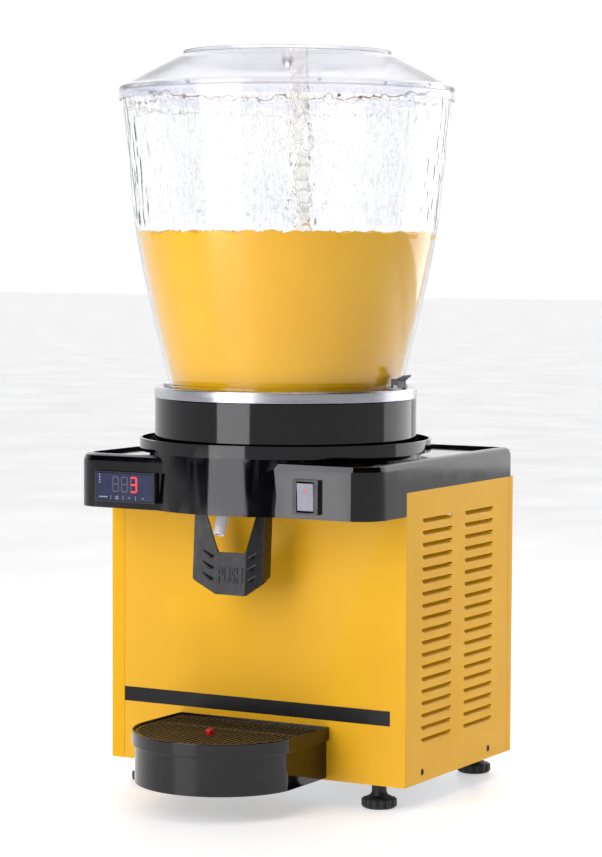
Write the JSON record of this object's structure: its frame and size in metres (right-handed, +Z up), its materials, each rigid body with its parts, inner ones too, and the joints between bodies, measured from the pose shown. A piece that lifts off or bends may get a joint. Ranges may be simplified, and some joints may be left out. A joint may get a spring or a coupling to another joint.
{
  "type": "cold drink dispenser",
  "caption": "Countertop chilled drink dispenser: clear fountain tank on a steel pan, yellow louvred cabinet, push-lever tap, drip tray.",
  "frame": {"origin": "centre of the bounding box in plan, on the surface that the feet stand on", "axes": "+Z up, front with the tap faces -Y, +X is to the right of a person facing the front"},
  "size_m": [0.35, 0.415, 0.767],
  "materials": {
    "yellow_powder_coat": "satin powder coat over sheet steel",
    "black_vinyl": "smooth black film",
    "gloss_black": "polished black ABS",
    "lever_black": "black ABS, half gloss",
    "grille_black": "black ABS, satin",
    "control_black": "black polycarbonate bezel",
    "smoked_lens": "smoked clear window",
    "key_grey": "silver-grey rocker key",
    "stainless": "brushed stainless steel",
    "galvanised": "galvanised sheet steel",
    "spring_steel": "drawn spring wire",
    "clear_tank": "clear polycarbonate",
    "clear_lid": "clear polycarbonate",
    "orange_juice": "cloudy yellow-orange drink",
    "seal_rubber": "black food-grade rubber",
    "tap_silicone": "milky silicone",
    "white_plastic": "white acetal",
    "pump_clear": "milky clear polycarbonate",
    "impeller_blue": "blue acetal",
    "latch_grey": "grey nylon",
    "foam": "cast polyurethane foam",
    "copper": "drawn copper tube",
    "aluminium_fins": "aluminium fins on tube",
    "motor_iron": "laminated iron and cast housing",
    "compressor_black": "black enamel on pressed steel",
    "black_plastic": "black nylon",
    "screw_black": "blackened steel",
    "foot_rubber": "black rubber moulded on a steel screw",
    "float_red": "red polypropylene"
  },
  "bodies": {
    "cabinet": {"body_wrap": "yellow_powder_coat", "front_panel": "yellow_powder_coat", "side_panel": "yellow_powder_coat", "front_stripe": "black_vinyl", "top_cover": "gloss_black", "collar_ring": "gloss_black", "tray_bracket": "grille_black", "controller_case": "control_black", "switch_body": "control_black", "controller_lens": "smoked_lens", "evaporator_pan": "stainless", "pivot_pin": "stainless", "temperature_probe": "stainless", "base_plate": "galvanised", "tap_bracket": "galvanised", "motor_bracket": "galvanised", "fan_shroud": "galvanised", "foot_nuts": "galvanised", "latch_hinges": "galvanised", "bracket_screws": "galvanised", "lever_spring": "spring_steel", "compressor_mounts": "seal_rubber", "outlet_tube": "tap_silicone", "outlet_spigot": "white_plastic", "pump_housing": "pump_clear", "pan_insulation": "foam", "evaporator_coil": "copper", "filter_drier": "copper", "discharge_pipe": "copper", "suction_pipe": "copper", "capillary_tube": "copper", "condenser": "aluminium_fins", "pump_motor": "motor_iron", "fan_motor": "motor_iron", "compressor": "compressor_black", "terminal_box": "black_plastic", "wiring_loom": "black_plastic", "cable_gland": "black_plastic", "panel_screws": "screw_black"},
    "tank": {"tank": "clear_tank", "tank_seal": "seal_rubber", "juice": "orange_juice"},
    "lid": {"lid": "clear_lid"},
    "lever": {"push_lever": "lever_black"},
    "switch_key": {"switch_key": "key_grey"},
    "latch_left": {"latch_left": "latch_grey"},
    "latch_right": {"latch_right": "latch_grey"},
    "drip_tray": {"drip_tray": "gloss_black"},
    "grille": {"tray_grille": "grille_black"},
    "level_float": {"level_float": "float_red"},
    "fan": {"fan_blade": "black_plastic"},
    "drive_magnet": {"drive_magnet": "motor_iron"},
    "impeller": {"impeller": "impeller_blue"},
    "foot_front_left": {"foot_front_left": "foot_rubber"},
    "foot_front_right": {"foot_front_right": "foot_rubber"},
    "foot_rear_left": {"foot_rear_left": "foot_rubber"},
    "foot_rear_right": {"foot_rear_right": "foot_rubber"}
  },
  "joints": [
    {"name": "tank_lift", "type": "slide", "parent": "cabinet", "child": "tank", "axis": [0, 0, 1], "range_m": [0, 0.2]},
    {"name": "lid_lift", "type": "slide", "parent": "tank", "child": "lid", "axis": [0, 0, 1], "range_m": [0, 0.12]},
    {"name": "lever_push", "type": "hinge", "parent": "cabinet", "child": "lever", "pos_m": [0, -0.0875, 0.322], "axis": [1, 0, 0], "range_deg": [0, 15], "stiffness_Nm_per_rad": 1.5, "springref_deg": -14.32, "deforming": ["lever_spring"]},
    {"name": "switch_rock", "type": "hinge", "parent": "cabinet", "child": "switch_key", "pos_m": [0.1031, -0.1245, 0.3201], "axis": [1, 0, 0], "range_deg": [-8, 0]},
    {"name": "latch_left_tip", "type": "hinge", "parent": "cabinet", "child": "latch_left", "pos_m": [-0.1338, 0.0115, 0.424], "axis": [0, -1, 0], "range_deg": [0, 70]},
    {"name": "latch_right_tip", "type": "hinge", "parent": "cabinet", "child": "latch_right", "pos_m": [0.1338, 0.0115, 0.424], "axis": [0, 1, 0], "range_deg": [0, 70]},
    {"name": "tray_slide", "type": "slide", "parent": "cabinet", "child": "drip_tray", "axis": [0, -1, 0], "range_m": [0, 0.2]},
    {"name": "grille_lift", "type": "slide", "parent": "drip_tray", "child": "grille", "axis": [0, 0, 1], "range_m": [0, 0.06]},
    {"name": "float_rise", "type": "slide", "parent": "drip_tray", "child": "level_float", "axis": [0, 0, 1], "range_m": [0, 0.015]},
    {"name": "fan_spin", "type": "hinge", "parent": "cabinet", "child": "fan", "pos_m": [0.113, 0.0685, 0.165], "axis": [1, 0, 0], "continuous": true},
    {"name": "pump_spin", "type": "hinge", "parent": "cabinet", "child": "drive_magnet", "pos_m": [0, 0.0475, 0.35], "axis": [0, 0, 1], "continuous": true},
    {"name": "impeller_spin", "type": "hinge", "parent": "cabinet", "child": "impeller", "pos_m": [0, 0.0475, 0.38], "axis": [0, 0, 1], "continuous": true},
    {"name": "foot_front_left_level", "type": "slide", "parent": "cabinet", "child": "foot_front_left", "axis": [0, 0, 1], "range_m": [-0.01, 0]},
    {"name": "foot_front_right_level", "type": "slide", "parent": "cabinet", "child": "foot_front_right", "axis": [0, 0, 1], "range_m": [-0.01, 0]},
    {"name": "foot_rear_left_level", "type": "slide", "parent": "cabinet", "child": "foot_rear_left", "axis": [0, 0, 1], "range_m": [-0.01, 0]},
    {"name": "foot_rear_right_level", "type": "slide", "parent": "cabinet", "child": "foot_rear_right", "axis": [0, 0, 1], "range_m": [-0.01, 0]}
  ],
  "couplings": [
    {"joint": "impeller_spin", "follows": "pump_spin", "ratio": 1}
  ]
}
